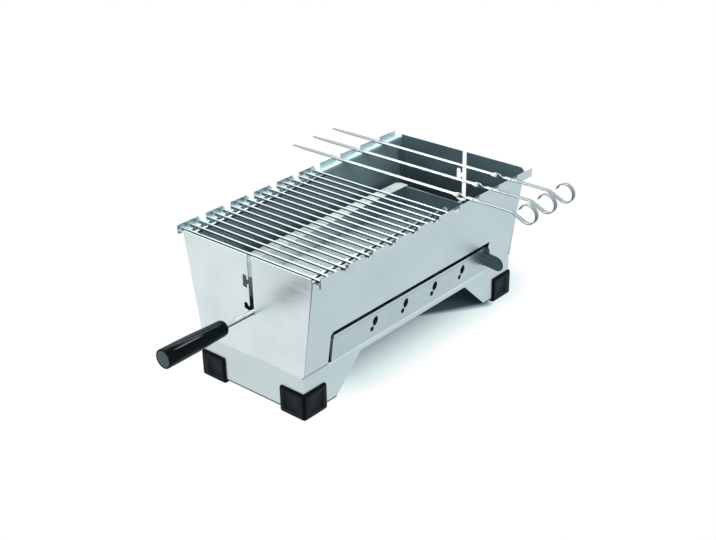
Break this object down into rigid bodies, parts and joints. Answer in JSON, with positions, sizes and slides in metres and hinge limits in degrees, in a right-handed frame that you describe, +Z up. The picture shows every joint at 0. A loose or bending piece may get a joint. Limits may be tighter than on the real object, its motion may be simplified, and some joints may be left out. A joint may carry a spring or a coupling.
{
  "type": "tabletop kebab grill",
  "caption": "Tabletop charcoal kebab grill: notched sheet steel trough on rubber feet, with a lift-up pan on a grip, an ash drawer, a wire grate and loop-handled skewers.",
  "frame": {"origin": "on the table, under the middle of the whole outline with grip and skewers", "axes": "+X along the trough, away from the grip; -Y the side with the ash drawer and the skewer handles; +Z up"},
  "size_m": [0.545, 0.3936, 0.1996],
  "materials": {
    "sheet_steel": "brushed",
    "bright_steel": "polished",
    "rubber": "matte",
    "grip_plastic": "semi-gloss",
    "cap_plastic": "matte"
  },
  "bodies": {
    "grill": {"base_frame": "sheet_steel", "floor_plate": "sheet_steel", "near_wall": "sheet_steel", "far_wall": "sheet_steel", "front_wall": "sheet_steel", "rear_wall": "sheet_steel", "foot_front_near": "rubber", "foot_front_far": "rubber", "foot_rear_near": "rubber", "foot_rear_far": "rubber", "base_rivets": "bright_steel", "runner_front": "sheet_steel", "runner_rear": "sheet_steel"},
    "ash_drawer": {"drawer_tray": "sheet_steel", "drawer_front": "sheet_steel"},
    "pan_lift": {"charcoal_pan": "sheet_steel", "lift_shaft": "bright_steel", "rear_pin": "bright_steel", "pan_nuts": "bright_steel", "grip": "grip_plastic", "grip_cap": "cap_plastic"},
    "grill_grate": {"grate_rods": "bright_steel", "grate_wires": "bright_steel"},
    "skewer_body_1": {"skewer_1": "bright_steel"},
    "skewer_body_2": {"skewer_2": "bright_steel"},
    "skewer_body_3": {"skewer_3": "bright_steel"}
  },
  "joints": [
    {"name": "drawer_slide", "type": "slide", "parent": "grill", "child": "ash_drawer", "axis": [0, -1, 0], "range_m": [0, 0.14]},
    {"name": "pan_slide", "type": "slide", "parent": "grill", "child": "pan_lift", "axis": [0, 0, 1], "range_m": [0, 0.037]},
    {"name": "grate_slide", "type": "slide", "parent": "grill", "child": "grill_grate", "axis": [0, 0, 1], "range_m": [0, 0.06]},
    {"name": "skewer_slide_1", "type": "slide", "parent": "grill", "child": "skewer_body_1", "axis": [0, 0, 1], "range_m": [0, 0.06]},
    {"name": "skewer_slide_2", "type": "slide", "parent": "grill", "child": "skewer_body_2", "axis": [0, 0, 1], "range_m": [0, 0.06]},
    {"name": "skewer_slide_3", "type": "slide", "parent": "grill", "child": "skewer_body_3", "axis": [0, 0, 1], "range_m": [0, 0.06]}
  ]
}
